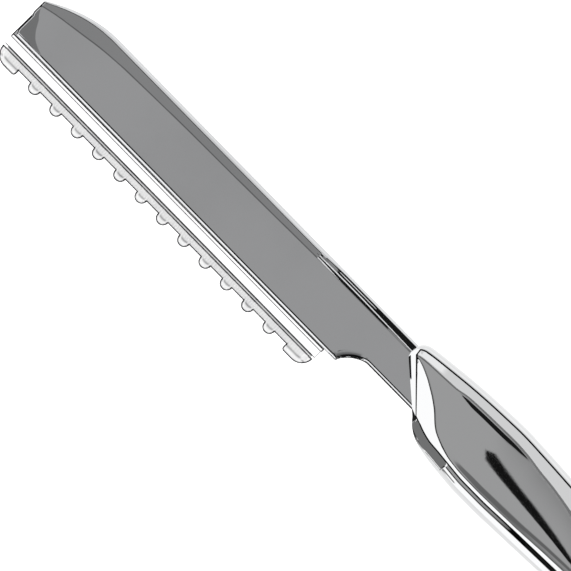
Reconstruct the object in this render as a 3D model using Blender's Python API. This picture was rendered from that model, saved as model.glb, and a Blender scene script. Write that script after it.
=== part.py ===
"""Hairdresser's styling razor with a slide-in, comb-guarded blade cartridge, lying on its side.

The design frame is (u, v, w): u runs from the nose to the tail, v up from the cutting edge to
the spine, and w across the razor from its middle plane. place() puts that frame in the world:
+X is the tail, +Y the spine, +Z up, with the origin under the middle of the whole object.
"""

import math

import bmesh
import bpy
import numpy as np

MM = 0.001

# Fits
GAP = 0.3 * MM
OVERSHOOT = 2.0 * MM
ROUND_SIDES = 24

# Overall sizes of the handle
HANDLE_LENGTH = 130.6 * MM
HANDLE_THICKNESS = 10.0 * MM

# Blade cartridge
CARTRIDGE_START = 0.1 * MM
CARTRIDGE_LENGTH = 66.0 * MM
CARTRIDGE_THICKNESS = 1.6 * MM
CARTRIDGE_TOP = -1.0 * MM
SPINE_BOTTOM = -7.75 * MM
SPINE_WALL = 0.375 * MM
BLADE_LENGTH = 62.0 * MM
BLADE_THICKNESS = 0.25 * MM
BLADE_TOP = -2.5 * MM
BLADE_BEVEL = 0.6 * MM
CUTTING_EDGE = -9.15 * MM
GUARD_TOP = SPINE_BOTTOM - GAP
GUARD_BOTTOM = -9.25 * MM
TOOTH_COUNT = 12
TOOTH_RADIUS = 1.07 * MM
END_TOOTH_DROP = 1.05 * MM
END_TOOTH_WIDTH = 2.8 * MM
END_TOOTH_INSET = 1.8 * MM

# Blade holder
HOLDER_WALL = 0.7 * MM
HOLDER_BOTTOM = -5.75 * MM
HOLDER_LIP = 0.45 * MM
HOLDER_TOP = 4.65 * MM
NOSE_DROP = 3.75 * MM
NOSE_LENGTH = 12.0 * MM
SPINE_STRIP = 0.8 * MM
SPINE_HALF = 0.5 * MM
STRIP_HALF = 1.25 * MM
FACET_WIDTH = 2.3 * MM
CAVITY_DEPTH = 2.05 * MM
NOSE_CAVITY_DEPTH = 1.5 * MM
NOTCH_GAP = 2.3 * MM
NOTCH_LENGTH = 3.7 * MM
NOTCH_ROUNDNESS = 1.5
NECK_BOTTOM = -2.75 * MM
NECK_LENGTH = 3.3 * MM
LEAF_TOP = 3.3 * MM
LEAF_LENGTH_IN_HANDLE = 13.6 * MM

# Clamp spring
SPRING_THICKNESS = 0.4 * MM
SPRING_WIDTH = 1.6 * MM

# Tang and its pins
TANG_BOTTOM = -2.2 * MM
TANG_TOP = 2.3 * MM
TANG_LENGTH_IN_HANDLE = 29.5 * MM
PIN_RADIUS = 1.0 * MM
PIN_HEIGHT = 0.3 * MM
PIN_SETBACKS = (9.1 * MM, 23.6 * MM)

# Handle
FRAME_THICKNESS = 6.4 * MM
TAIL_FRAME_THICKNESS = 3.6 * MM
TAIL_THICKNESS = 6.2 * MM
FRONT_RISE = 4.0 * MM
TAIL_ROUND = 6.0 * MM
TOP_BAND = 0.95 * MM
COVER_EDGE = 0.3 * MM
DISH_DEPTH = 0.9 * MM
DISH_START_RUN = 20.0 * MM
DISH_END_RUN = 30.0 * MM
RIM_LAND = 0.8 * MM
PEG_RADIUS = 0.8 * MM
PEG_LENGTH = 2.4 * MM
PEGS = ((22.6 * MM, 5.0 * MM), (54.0 * MM, 3.0 * MM), (96.0 * MM, 0.2 * MM))

# Outlines of the handle as (distance behind its front, height), in millimetres.
HANDLE_TOP = ((0, 4.2), (0.3, 4.9), (0.8, 5.5), (1.6, 5.9), (5.6, 6.45), (9.6, 6.9), (13.6, 7.2),
              (20.6, 7.5), (26.6, 7.25), (50, 6.1), (75, 4.75), (100, 3.55), (131, 2.4))
HANDLE_BOTTOM = ((0, 2.9), (0.2, 2.4), (6.1, -2.2), (7.1, -3.6), (8.1, -4.7), (9.6, -5.5),
                 (11.6, -6.1), (13.6, -6.4), (18.6, -6.85), (23.6, -6.85), (33.6, -6.4),
                 (50, -5.6), (75, -4.35), (100, -3.2), (131, -2.1))
COVER_BOTTOM = ((0, 3.3), (0.3, 3.0), (1.1, 2.5), (3.6, 0.4), (6.1, -1.6), (7.6, -3.0),
                (8.6, -3.5), (10.6, -4.2), (13.6, -4.75), (18.6, -4.95), (23.6, -5.0),
                (33.6, -4.5), (50, -3.9), (75, -3.1), (100, -2.3), (131, -1.4))
DISH_TOP = ((1.5, 3.6), (9.6, 4.0), (23.6, 4.2), (28.6, 3.9), (34.4, 2.8), (46, -0.4), (58, -2.5),
            (90, 0.5), (131, 0.4))
DISH_BOTTOM = ((1.5, 3.2), (3.6, 2.4), (7.6, 0.0), (10.1, -2.1), (13.6, -3.5), (18.6, -4.1),
               (28.6, -3.9), (38.6, -3.4), (58, -2.9), (90, 0.0), (131, 0.0))

# Values that follow from those above
HALF_HANDLE = HANDLE_THICKNESS / 2
HALF_SLOT = CARTRIDGE_THICKNESS / 2 + GAP
HALF_HOLDER = HALF_SLOT + HOLDER_WALL
HALF_TANG = HALF_SLOT - GAP
HALF_BLADE_SLOT = CARTRIDGE_THICKNESS / 2 - SPINE_WALL
CARTRIDGE_END = CARTRIDGE_START + CARTRIDGE_LENGTH
NOTCH_START = CARTRIDGE_END + NOTCH_GAP
NOTCH_END = NOTCH_START + NOTCH_LENGTH
HANDLE_START = NOTCH_END + NECK_LENGTH
LENGTH = HANDLE_START + HANDLE_LENGTH
LEAF_END = HANDLE_START + LEAF_LENGTH_IN_HANDLE
TANG_START = CARTRIDGE_END + 2 * GAP
TANG_END = HANDLE_START + TANG_LENGTH_IN_HANDLE
BLADE_START = CARTRIDGE_START + (CARTRIDGE_LENGTH - BLADE_LENGTH) / 2
BLADE_END = BLADE_START + BLADE_LENGTH
DISH_RUN = DISH_BOTTOM[-3][0] * MM
DISH_TIP = HANDLE_START + DISH_RUN
TAPER_START = DISH_TIP
EDGE_LOW = GUARD_BOTTOM - TOOTH_RADIUS
EDGE_HIGH = max(height for _, height in HANDLE_TOP) * MM


def clear_scene():
    for old in list(bpy.data.objects):
        bpy.data.objects.remove(old, do_unlink=True)


def metal(name, color, roughness, metallic=1.0):
    """A plain Principled material."""
    material = bpy.data.materials.new(name)
    material.use_nodes = True
    shader = material.node_tree.nodes["Principled BSDF"]
    shader.inputs["Base Color"].default_value = (*color, 1.0)
    shader.inputs["Roughness"].default_value = roughness
    shader.inputs["Metallic"].default_value = metallic
    return material


def place(u, v, w):
    """The design frame's point in the world."""
    return (u - LENGTH / 2, v - (EDGE_HIGH + EDGE_LOW) / 2, w + HALF_HANDLE)


def add_object(name, mesh, material, parent=None):
    obj = bpy.data.objects.new(name, mesh)
    bpy.context.scene.collection.objects.link(obj)
    if material:
        mesh.materials.append(material)
    if parent:
        obj.parent = parent
        obj.matrix_parent_inverse = parent.matrix_world.inverted()
    return obj


def mesh_from(name, bm):
    bmesh.ops.recalc_face_normals(bm, faces=bm.faces)
    mesh = bpy.data.meshes.new(name)
    bm.to_mesh(mesh)
    bm.free()
    return mesh


def loft(name, rings, material=None, parent=None):
    """A closed body through rings of (u, v, w) points, all with the same number of points."""
    bm = bmesh.new()
    rows = [[bm.verts.new(place(*point)) for point in ring] for ring in rings]
    for near, far in zip(rows, rows[1:]):
        for i in range(len(near)):
            j = (i + 1) % len(near)
            bm.faces.new((near[i], near[j], far[j], far[i]))
    bm.faces.new(rows[0])
    bm.faces.new(rows[-1])
    return add_object(name, mesh_from(name, bm), material, parent)


def slab(name, outline, half, material=None, parent=None):
    """An outline of (u, v) points, extruded to w = -half .. half."""
    rings = [[(u, v, side * half) for u, v in outline] for side in (-1, 1)]
    return loft(name, rings, material, parent)


def rod(name, u, v, radius, low, high, material=None):
    """A round bar across the razor, from w = low to w = high."""
    turns = [2 * math.pi * i / ROUND_SIDES for i in range(ROUND_SIDES)]
    circle = [(u + radius * math.cos(a), v + radius * math.sin(a)) for a in turns]
    rings = [[(x, y, w) for x, y in circle] for w in (low, high)]
    return loft(name, rings, material)


def combine(target, operation, tools):
    """Adds one Boolean for each tool and hides the tools."""
    for tool in tools:
        modifier = target.modifiers.new(tool.name, "BOOLEAN")
        modifier.operation = operation
        modifier.object = tool
        modifier.solver = "EXACT"
        tool.hide_render = True
        tool.display_type = "WIRE"


def smooth(obj):
    obj.data.shade_smooth()
    obj.data.set_sharp_from_angle(angle=math.radians(30))


# Outlines of the head

def nose(u, length=NOSE_LENGTH):
    """1 at the nose, easing to 0 where the head becomes straight."""
    return max(0.0, 1 - u / length) ** 2


def head_top(u):
    return HOLDER_TOP - NOSE_DROP * nose(u)


def cavity_top(u):
    return head_top(u) - CAVITY_DEPTH + (CAVITY_DEPTH - NOSE_CAVITY_DEPTH) * nose(u)


def leaf_top(u):
    """Top edge of the neck, stepped down inside the handle."""
    slope = min(1.0, max(0.0, (u - HANDLE_START - 1.2 * MM) / (2.6 * MM)))
    return head_top(u) - (HOLDER_TOP - LEAF_TOP) * slope


def head_bottom(u):
    """The lower edge: straight, then the notch up to the neck as a flattened quarter ellipse."""
    if u <= NOTCH_START:
        return HOLDER_BOTTOM
    along = max(0.0, (NOTCH_END - u) / NOTCH_LENGTH)
    rise = (1 - along**NOTCH_ROUNDNESS) ** (1 / NOTCH_ROUNDNESS)
    return HOLDER_BOTTOM + rise * (NECK_BOTTOM - HOLDER_BOTTOM)


def make_blade_holder(material):
    nose_stations = [NOSE_LENGTH * i / 8 for i in range(9)]
    notch_stations = [NOTCH_START + NOTCH_LENGTH * (i / 8) ** 1.5 for i in range(9)]
    leaf_stations = [HANDLE_START + 1.2 * MM, HANDLE_START + 3.8 * MM, LEAF_END]
    rings = []
    for u in nose_stations + notch_stations + leaf_stations:
        top, bottom = leaf_top(u), head_bottom(u)
        strip = SPINE_STRIP * (1 - 0.5 * nose(u))
        side = [
            (bottom, HALF_HOLDER - HOLDER_LIP),
            (bottom + HOLDER_LIP, HALF_HOLDER),
            (top - FACET_WIDTH * (1 - 0.5 * nose(u)), HALF_HOLDER),
            (top - strip, STRIP_HALF),
            (top, SPINE_HALF),
        ]
        right = [(u, v, w) for v, w in side]
        left = [(u, v, -w) for v, w in reversed(side)]
        rings.append(right + left)
    holder = loft("blade_holder", rings, material)
    roof = [(u, cavity_top(u)) for u in nose_stations]
    low = HOLDER_BOTTOM - OVERSHOOT
    outline = [(-OVERSHOOT, low), (-OVERSHOOT, cavity_top(0))] + roof
    outline += [(LEAF_END + OVERSHOOT, cavity_top(LEAF_END)), (LEAF_END + OVERSHOOT, low)]
    cavity = slab("cavity_cutter", outline, HALF_SLOT)
    pin_hole = rod("leaf_pin_cutter", HANDLE_START + PIN_SETBACKS[0], PIN_HEIGHT,
                   PIN_RADIUS + GAP, -HALF_HANDLE, HALF_HANDLE)
    combine(holder, "DIFFERENCE", [cavity, pin_hole])
    smooth(holder)


def make_clamp_spring(material):
    """A flat strip bowed down from the roof of the slot to the back of the cartridge."""
    start, end = NOSE_LENGTH / 2, CARTRIDGE_END - GAP
    middle, reach = (start + end) / 2, (end - start) / 2
    high = cavity_top(NOSE_LENGTH) - GAP - SPRING_THICKNESS
    front_high = cavity_top(start) - GAP - SPRING_THICKNESS
    low = CARTRIDGE_TOP + GAP
    rings = []
    for i in range(17):
        u = start + (end - start) * i / 16
        limit = front_high if u < middle else high
        v = low + (limit - low) * ((u - middle) / reach) ** 2
        half = SPRING_WIDTH / 2
        corners = ((v, -half), (v, half), (v + SPRING_THICKNESS, half), (v + SPRING_THICKNESS, -half))
        rings.append([(u, height, w) for height, w in corners])
    loft("clamp_spring", rings, material)


def make_tang(material, pin_material):
    outline = [(TANG_START, TANG_BOTTOM), (TANG_END, TANG_BOTTOM),
               (TANG_END, TANG_TOP), (TANG_START, TANG_TOP)]
    tang = slab("tang_plate", outline, HALF_TANG, material)
    holes = []
    for name, setback in zip(("front", "rear"), PIN_SETBACKS):
        u = HANDLE_START + setback
        reach = FRAME_THICKNESS / 2
        holes.append(rod(f"tang_{name}_hole_cutter", u, PIN_HEIGHT, PIN_RADIUS + GAP, -reach, reach))
        smooth(rod(f"tang_pin_{name}", u, PIN_HEIGHT, PIN_RADIUS, -reach, reach, pin_material))
    combine(tang, "DIFFERENCE", holes)


# Cartridge

def make_cartridge_spine(material, parent):
    """A strip folded to a U, open along its lower edge for the blade."""
    half = CARTRIDGE_THICKNESS / 2
    outline = [(-half, SPINE_BOTTOM), (-half, CARTRIDGE_TOP), (half, CARTRIDGE_TOP),
               (half, SPINE_BOTTOM), (HALF_BLADE_SLOT, SPINE_BOTTOM),
               (HALF_BLADE_SLOT, BLADE_TOP + GAP), (-HALF_BLADE_SLOT, BLADE_TOP + GAP),
               (-HALF_BLADE_SLOT, SPINE_BOTTOM)]
    rings = [[(u, v, w) for w, v in outline] for u in (CARTRIDGE_START, CARTRIDGE_END)]
    loft("cartridge_spine", rings, material, parent)


def make_blade(material, parent):
    half = BLADE_THICKNESS / 2
    shoulder = CUTTING_EDGE + BLADE_BEVEL
    outline = [(-half, BLADE_TOP), (half, BLADE_TOP), (half, shoulder),
               (0.0, CUTTING_EDGE), (-half, shoulder)]
    rings = [[(u, v, w) for w, v in outline] for u in (BLADE_START, BLADE_END)]
    loft("razor_blade", rings, material, parent)


def end_tooth(start, direction):
    """Outline of a guard end, from its top outer corner to the band beside its long tooth."""
    low = GUARD_BOTTOM - END_TOOTH_DROP
    outer = start + direction * END_TOOTH_INSET
    inner = outer + direction * END_TOOTH_WIDTH
    sweep = [(start + direction * 0.2 * MM, GUARD_TOP)]
    for i in range(1, 6):
        angle = math.pi / 2 * i / 5
        across = (outer + direction * 0.7 * MM - sweep[0][0]) * (1 - math.cos(angle))
        sweep.append((sweep[0][0] + across, GUARD_TOP + (low - GUARD_TOP) * math.sin(angle)))
    corner = 0.5 * MM
    sweep += [(inner - direction * corner, low), (inner, low + corner), (inner, GUARD_BOTTOM)]
    return sweep


def make_comb_guard(material, parent):
    """A clear strip over the blade's edge with round teeth; its slot opens between the teeth."""
    left = end_tooth(CARTRIDGE_START, 1)
    right = end_tooth(CARTRIDGE_END, -1)
    first, last = left[-1][0], right[-1][0]
    pitch = (last - first) / (TOOTH_COUNT + 0.55)
    teeth = []
    for i in range(TOOTH_COUNT):
        middle = first + pitch * (i + 0.775)
        for step in range(9):
            angle = math.pi * (1 - step / 8)
            teeth.append((middle + TOOTH_RADIUS * math.cos(angle),
                          GUARD_BOTTOM - TOOTH_RADIUS * math.sin(angle)))
    outline = left + teeth + right[::-1]
    guard = slab("comb_guard", outline, CARTRIDGE_THICKNESS / 2, material, parent)
    low = CUTTING_EDGE - GAP
    slot = slab("guard_slot_cutter", [(BLADE_START - GAP, low), (BLADE_END + GAP, low),
                (BLADE_END + GAP, GUARD_TOP + OVERSHOOT),
                (BLADE_START - GAP, GUARD_TOP + OVERSHOOT)], HALF_BLADE_SLOT)
    combine(guard, "DIFFERENCE", [slot])


# Handle

def along(points, u):
    """Height of an outline at u; the part behind the dish takes up any change of length."""
    distances = np.array([distance for distance, _ in points]) * MM
    heights = np.array([height for _, height in points]) * MM
    drawn = HANDLE_TOP[-1][0] * MM - DISH_RUN
    behind = max(0.0, u - DISH_TIP) * drawn / (HANDLE_LENGTH - DISH_RUN)
    return float(np.interp(min(u, DISH_TIP) - HANDLE_START + behind, distances, heights))


def tail_round(u):
    """1 along the handle, falling round to a small flat at the tail's end."""
    past = max(0.0, (u - (LENGTH - TAIL_ROUND)) / TAIL_ROUND)
    return max(0.2, math.sqrt(max(0.0, 1 - past**2)))


def taper(u, whole, at_tail):
    share = min(1.0, max(0.0, (u - TAPER_START) / (LENGTH - TAPER_START)))
    return whole + (at_tail - whole) * share


def frame_half(u):
    return taper(u, FRAME_THICKNESS, TAIL_FRAME_THICKNESS) / 2


def crest(u):
    """Height of a cover's rim above the middle plane, lower at the very front and round the tail."""
    base = frame_half(u) + GAP
    rise = taper(u, HANDLE_THICKNESS, TAIL_THICKNESS) / 2 - base
    ahead = max(0.0, 1 - (u - HANDLE_START) / FRONT_RISE)
    return base + rise * tail_round(u) * (1 - 0.6 * ahead**2)


def middle_line(u):
    return (along(HANDLE_TOP, u) + along(HANDLE_BOTTOM, u)) / 2


def rounded(points, u):
    middle = middle_line(u)
    return middle + (along(points, u) - middle) * tail_round(u)


def handle_stations():
    front = [0, 0.3, 0.8, 1.6, 2.6, 3.6, 4.8, 6.1, 7.1, 8.1, 9.6, 11.6, 13.6, 16, 18.6, 21, 23.6]
    stations = [HANDLE_START + distance * MM for distance in front]
    body_end = LENGTH - TAIL_ROUND
    steps = 22
    stations += [stations[-1] + (body_end - stations[-1]) * i / steps for i in range(1, steps + 1)]
    stations += [body_end + TAIL_ROUND * math.sin(math.pi / 2 * i / 5) for i in range(1, 6)]
    return stations


def make_handle_frame(material):
    """The middle casting, with a forked front that takes the neck, and bores for pins and pegs."""
    rings = []
    for u in handle_stations():
        top, bottom, half = rounded(HANDLE_TOP, u), rounded(HANDLE_BOTTOM, u), frame_half(u)
        band = min(TOP_BAND, 0.25 * (top - bottom))
        seat = min(rounded(COVER_BOTTOM, u), top - 2 * band)
        lower = seat - bottom
        side = [
            (bottom, 0.35 * half),
            (bottom + 0.3 * lower, 0.75 * half),
            (seat, half),
            (top - band, half),
            (top - 0.3 * band, 0.75 * half),
            (top, 0.35 * half),
        ]
        rings.append([(u, v, w) for v, w in side] + [(u, v, -w) for v, w in reversed(side)])
    frame = loft("handle_frame", rings, material)

    low, high = NECK_BOTTOM - GAP, LEAF_TOP + GAP
    mouth = HANDLE_START - OVERSHOOT
    neck_slot = slab("neck_slot_cutter", [
        (mouth, low - OVERSHOOT), (HANDLE_START + 6.6 * MM, low - OVERSHOOT),
        (HANDLE_START + 7.5 * MM, low), (LEAF_END + GAP, low), (LEAF_END + GAP, high),
        (HANDLE_START + 3.9 * MM, high), (HANDLE_START + 1.3 * MM, HOLDER_TOP + GAP),
        (HANDLE_START + 1.0 * MM, HOLDER_TOP + OVERSHOOT), (mouth, HOLDER_TOP + OVERSHOOT),
    ], HALF_HOLDER + GAP)
    tang_slot = slab("tang_slot_cutter", [
        (LEAF_END, TANG_BOTTOM - GAP), (TANG_END + GAP, TANG_BOTTOM - GAP),
        (TANG_END + GAP, TANG_TOP + GAP), (LEAF_END, TANG_TOP + GAP)], HALF_TANG + GAP)
    tools = [neck_slot, tang_slot]
    for i, setback in enumerate(PIN_SETBACKS):
        tools.append(rod(f"frame_pin_cutter_{i}", HANDLE_START + setback, PIN_HEIGHT,
                         PIN_RADIUS + GAP, -HALF_HANDLE, HALF_HANDLE))
    for i, (setback, v) in enumerate(PEGS):
        tools.append(rod(f"frame_peg_cutter_{i}", HANDLE_START + setback, v,
                         PEG_RADIUS + GAP, -HALF_HANDLE, HALF_HANDLE))
    combine(frame, "DIFFERENCE", tools)
    smooth(frame)


def make_cover(name, side, material):
    """One face of the handle: a raised rim round a shallow leaf-shaped dish, on three pegs."""
    rings = []
    for u in handle_stations():
        top, base = rounded(HANDLE_TOP, u), frame_half(u) + GAP
        bottom = rounded(HANDLE_BOTTOM, u)
        band = min(TOP_BAND, 0.25 * (top - bottom))
        high = top - band
        low = min(rounded(COVER_BOTTOM, u), top - 2 * band)
        span = high - low
        land = min(RIM_LAND, 0.1 * span)
        rim_low = min(max(along(DISH_BOTTOM, u), low + 0.12 * span), high - 0.35 * span)
        rim_high = max(min(along(DISH_TOP, u), high - 0.15 * span - land), rim_low + 0.08 * span)
        edge = min(COVER_EDGE, 0.5 * (crest(u) - base))
        inside = min(1.0, max(0.0, (u - HANDLE_START) / DISH_START_RUN))
        outside = min(1.0, max(0.0, (DISH_TIP - u) / DISH_END_RUN))
        depth = min(DISH_DEPTH * inside * outside, 0.7 * (crest(u) - base))
        profile = [(low, base), (low, base + edge), (low + 0.6 * (rim_low - low), crest(u)),
                   (rim_low, crest(u))]
        for step in (-0.6, -0.2, 0.2, 0.6):
            v = (rim_low + rim_high) / 2 + step * (rim_high - rim_low) / 2
            profile.append((v, crest(u) - depth * (1 - step**2)))
        profile += [(rim_high, crest(u)), (rim_high + land, crest(u)), (high, base + edge), (high, base)]
        rings.append([(u, v, side * w) for v, w in profile])
    cover = loft(name, rings, material)
    pegs = []
    for i, (setback, v) in enumerate(PEGS):
        u = HANDLE_START + setback
        root = frame_half(u) + GAP
        ends = sorted((side * (root - PEG_LENGTH), side * (root + 0.3 * MM)))
        pegs.append(rod(f"{name}_peg_{i}", u, v, PEG_RADIUS, *ends))
    combine(cover, "UNION", pegs)
    smooth(cover)


def main():
    clear_scene()
    polished = metal("polished_steel", (0.62, 0.63, 0.64), 0.12)
    plated = metal("chrome_plate", (0.78, 0.79, 0.80), 0.06)
    spring_steel = metal("spring_steel", (0.40, 0.41, 0.43), 0.35)
    blade_steel = metal("blade_steel", (0.66, 0.67, 0.68), 0.18)
    clear_plastic = metal("clear_plastic", (0.86, 0.87, 0.88), 0.25, metallic=0.0)

    slide = bpy.data.objects.new("cartridge_slide", None)
    slide.location = place(CARTRIDGE_START, SPINE_BOTTOM, 0.0)
    bpy.context.scene.collection.objects.link(slide)
    bpy.context.view_layer.update()

    make_blade_holder(polished)
    make_clamp_spring(spring_steel)
    make_tang(spring_steel, spring_steel)
    make_cartridge_spine(polished, slide)
    make_blade(blade_steel, slide)
    make_comb_guard(clear_plastic, slide)
    make_handle_frame(plated)
    make_cover("front_cover", 1, plated)
    make_cover("back_cover", -1, plated)


main()
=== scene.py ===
import math
import bmesh
import bpy
import numpy as np
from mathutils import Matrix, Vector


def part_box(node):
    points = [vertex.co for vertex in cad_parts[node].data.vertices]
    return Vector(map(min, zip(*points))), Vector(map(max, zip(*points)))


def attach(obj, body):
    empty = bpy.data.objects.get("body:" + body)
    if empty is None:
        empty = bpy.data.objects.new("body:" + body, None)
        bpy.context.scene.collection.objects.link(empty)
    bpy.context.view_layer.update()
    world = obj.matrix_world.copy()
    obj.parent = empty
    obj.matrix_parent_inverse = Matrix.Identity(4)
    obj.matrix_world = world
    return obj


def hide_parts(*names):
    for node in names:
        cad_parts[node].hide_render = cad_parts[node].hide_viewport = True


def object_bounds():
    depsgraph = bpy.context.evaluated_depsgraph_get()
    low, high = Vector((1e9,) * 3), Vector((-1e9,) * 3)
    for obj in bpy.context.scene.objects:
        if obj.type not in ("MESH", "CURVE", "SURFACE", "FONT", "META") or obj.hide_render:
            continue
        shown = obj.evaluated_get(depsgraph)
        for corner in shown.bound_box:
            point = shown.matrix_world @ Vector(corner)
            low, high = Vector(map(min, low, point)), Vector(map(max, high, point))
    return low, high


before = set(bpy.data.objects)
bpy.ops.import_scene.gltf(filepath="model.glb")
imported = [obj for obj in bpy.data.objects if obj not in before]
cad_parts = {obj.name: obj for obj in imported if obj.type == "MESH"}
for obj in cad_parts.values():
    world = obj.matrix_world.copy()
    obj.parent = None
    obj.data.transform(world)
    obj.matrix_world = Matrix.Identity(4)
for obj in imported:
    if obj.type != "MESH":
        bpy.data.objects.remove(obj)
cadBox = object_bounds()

mm = 0.001
print("frame loaded:", len(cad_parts), "nodes")

# where things are, read from the frame; design millimetres are u along, v up to the spine, w across
holderLow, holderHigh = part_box("blade_holder")
frameLow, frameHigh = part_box("handle_frame")
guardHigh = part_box("comb_guard")[1]
spineLow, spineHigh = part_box("cartridge_spine")
bladeLow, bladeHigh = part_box("razor_blade")
holderTop = 4.65                                        # design height of the holder's back
zero = np.array([holderLow.x, holderHigh.y - holderTop * mm, (holderLow.z + holderHigh.z) / 2])


def inDesign(x=None, y=None):
    # a world coordinate as design millimetres
    return (x - zero[0]) / mm if x is not None else (y - zero[1]) / mm


def toWorld(points):
    # design millimetres to the frame's metres
    return np.asarray(points, float) * mm + zero


def line(points, at, blur=0.0):
    # straight runs between the points and on past both ends, averaged over a bell of this width so that
    # corners turn round
    beyond = 50
    xs, ys = np.array(points, float).T
    before = ys[0] - beyond * (ys[1] - ys[0]) / (xs[1] - xs[0])
    after = ys[-1] + beyond * (ys[-1] - ys[-2]) / (xs[-1] - xs[-2])
    xs = np.concatenate([[xs[0] - beyond], xs, [xs[-1] + beyond]])
    ys = np.concatenate([[before], ys, [after]])
    at = np.asarray(at, float)
    if not blur:
        return np.interp(at, xs, ys)
    steps = np.linspace(-2, 2, 17)
    weights = np.exp(-steps**2)
    return sum(w * np.interp(at + blur * s, xs, ys) for w, s in zip(weights, steps)) / weights.sum()


def ease(x):
    # 0 to 1 with level ends: three times the square less twice the cube
    x = np.clip(x, 0, 1)
    return x * x * (3 - 2 * x)


def tan(degrees):
    # slope of a face tilted by this angle
    return np.tan(np.radians(degrees))


def chamfer(distance, flats):
    # how far a face with these flats (width, tilt) round its outline lies below its level, at this distance
    stops = np.concatenate([[0.0], np.cumsum([width for width, tilt in flats])])
    falls = np.array([width * tan(tilt) for width, tilt in flats])
    return np.interp(distance, stops, np.concatenate([[falls.sum()], falls.sum() - np.cumsum(falls)]))


def spread(low, high, count, gather=0.0):
    # count values from low to high, gathered towards both ends as gather goes to 1
    t = np.linspace(0, 1, count)
    return low + (high - low) * ((1 - gather) * t + gather * (1 - np.cos(math.pi * t)) / 2)


def cells(count, around):
    # corner numbers of the quads between each closed ring and the next
    ring = np.arange(count - 1)[:, None] * around
    here = np.arange(around)[None, :]
    beside = (here + 1) % around
    quads = np.stack([ring + here, ring + beside, ring + around + beside, ring + around + here], axis=-1)
    return [list(quad) for quad in quads.reshape(-1, 4)]


def addPiece(name, points, faces, body, stands, material, sharp=35.0, attributes=None):
    # a mesh with its normals outwards and its creases sharp, riding on its body in place of the CAD nodes
    mesh = bpy.data.meshes.new(name)
    mesh.from_pydata([tuple(p) for p in toWorld(points)], [], [tuple(f) for f in faces])
    mesh.validate()
    skin = bmesh.new()
    skin.from_mesh(mesh)
    bmesh.ops.recalc_face_normals(skin, faces=skin.faces)
    skin.to_mesh(mesh)
    skin.free()
    mesh.shade_smooth()
    mesh.set_sharp_from_angle(angle=math.radians(sharp))
    for key, values in (attributes or {}).items():
        layer = mesh.attributes.new(key, "FLOAT", "POINT")
        layer.data.foreach_set("value", np.asarray(values, np.float32))
    piece = bpy.data.objects.new(name, mesh)
    bpy.context.scene.collection.objects.link(piece)
    mesh.materials.append(material)
    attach(piece, body)
    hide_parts(*stands)
    print("made", name, len(mesh.polygons), "faces")


def tube(rings):
    # a skin through closed rings, each end closed by a fan round its middle
    count, around = rings.shape[:2]
    faces = cells(count, around)
    for end, first in ((0, 0), (1, (count - 1) * around)):
        middle = count * around + end
        faces += [[first + i, first + (i + 1) % around, middle] for i in range(around)]
    middles = np.stack([rings[0].mean(axis=0), rings[-1].mean(axis=0)])
    return np.concatenate([rings.reshape(-1, 3), middles]), faces


def sleeve(rings):
    # a skin through closed rings whose first and last ring are flat faces
    count, around = rings.shape[:2]
    faces = cells(count, around)
    faces += [list(range(around)), list(range((count - 1) * around, count * around))]
    return rings.reshape(-1, 3), faces


def mirrorAcross(half):
    # a half ring from the middle plane out and back again, completed by its mirror image
    flip = np.array([1, 1, -1])
    return np.concatenate([half, (half * flip)[:, -2:0:-1]], axis=1)


def bothSides(values):
    # one value for each point of a half ring, repeated for the mirror image
    return np.concatenate([values, values[:, -2:0:-1]], axis=1).ravel()


def carried(u, section):
    # a half section of (v, w) pairs carried along u
    rows, cols = len(u), len(section)
    return np.stack([np.repeat(u[:, None], cols, axis=1), np.repeat(section[None, :, 0], rows, axis=0),
                     np.repeat(section[None, :, 1], rows, axis=0)], axis=-1)


class Value:
    # a socket that takes part in expressions; each operator adds its Math node
    def __init__(self, tree, socket):
        self.tree, self.socket = tree, socket

    def math(self, operation, *others):
        # any Math node on this value
        return node(self.tree, "ShaderNodeMath", {"operation": operation}, [self, *others])

    def __add__(self, other):
        return self.math("ADD", other)

    def __sub__(self, other):
        return self.math("SUBTRACT", other)

    def __rsub__(self, other):
        return constant(self, other).math("SUBTRACT", self)

    def __mul__(self, other):
        return self.math("MULTIPLY", other)

    def __truediv__(self, other):
        return self.math("DIVIDE", other)

    def __pow__(self, other):
        return self.math("POWER", other)

    def __neg__(self):
        return self.math("MULTIPLY", -1.0)

    def __abs__(self):
        return self.math("ABSOLUTE")

    __radd__ = __add__
    __rmul__ = __mul__

    def clamp(self):
        return node(self.tree, "ShaderNodeClamp", {}, {"Value": self})

    def step(self, low, high):
        # 0 below low, 1 above high, eased between
        return node(self.tree, "ShaderNodeMapRange", {"interpolation_type": "SMOOTHSTEP"},
                    {"Value": self, "From Min": low, "From Max": high})

    def band(self, low, high, soft):
        # 1 between low and high
        return self.step(low - soft, low + soft) * (1 - self.step(high - soft, high + soft))


def constant(like, number):
    # a number as a value in the same tree
    held = node(like.tree, "ShaderNodeValue", {}, {})
    held.socket.default_value = number
    return held


def node(tree, kind, settings, inputs, output=0):
    # any node: its settings first, then the values or links of its sockets
    made = tree.nodes.new(kind)
    for key, value in settings.items():
        setattr(made, key, value)
    pairs = inputs.items() if isinstance(inputs, dict) else enumerate(inputs)
    for key, value in pairs:
        if isinstance(value, Value):
            tree.links.new(value.socket, made.inputs[key])
        else:
            made.inputs[key].default_value = value
    return Value(tree, made.outputs[output])


def mixed(factor, first, second):
    # a colour part of the way from the first to the second; 6, 7 and 2 are the Mix node's colour sockets
    first, second = [value if isinstance(value, Value) else (*value, 1.0) for value in (first, second)]
    return node(factor.tree, "ShaderNodeMix", {"data_type": "RGBA"}, {0: factor, 6: first, 7: second}, 2)


def newMaterial(name):
    # a material with its tree and its shader
    material = bpy.data.materials.new(name)
    material.use_nodes = True
    tree = material.node_tree
    return material, tree, tree.nodes["Principled BSDF"]


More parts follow.
